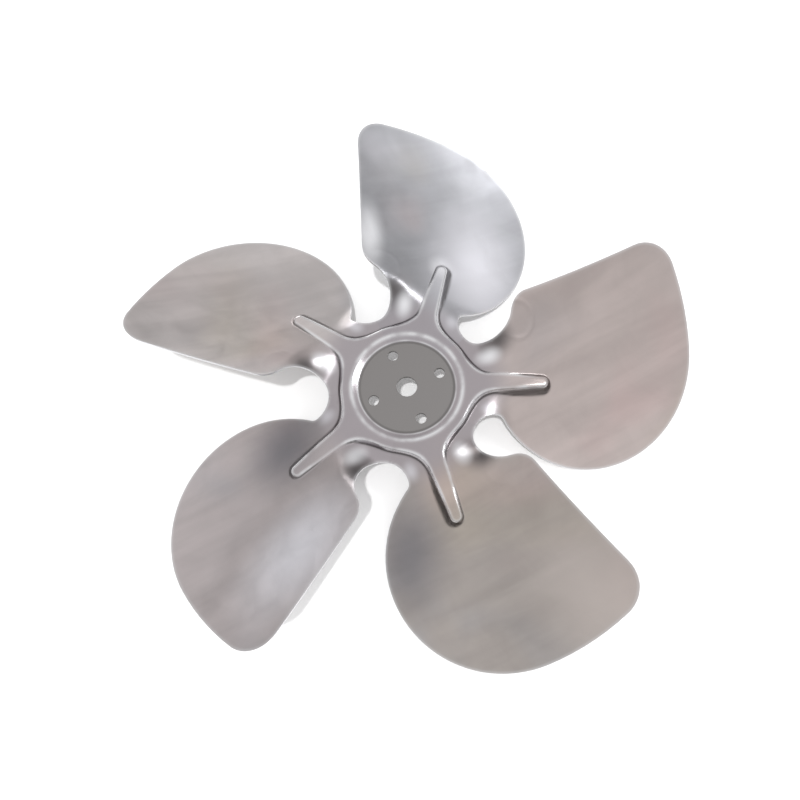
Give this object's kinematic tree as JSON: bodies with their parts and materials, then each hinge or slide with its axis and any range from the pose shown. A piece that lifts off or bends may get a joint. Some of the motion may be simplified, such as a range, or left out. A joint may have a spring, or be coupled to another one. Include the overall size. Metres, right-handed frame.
{
  "type": "axial fan impeller",
  "caption": "Axial impeller pressed from one aluminium sheet: dished, pitched blades round a ribbed star hub with a sunk bolt-on mounting disc.",
  "frame": {"origin": "middle of the shaft bore, halfway through the mounting disc", "axes": "+Z along the shaft axis, out of the front of the impeller; +X along one blade's rib"},
  "size_m": [0.2239, 0.2231, 0.0413],
  "materials": {
    "aluminium_sheet": "bright pressed sheet, satin on the mounting disc"
  },
  "bodies": {
    "root": {"impeller": "aluminium_sheet"}
  },
  "joints": []
}
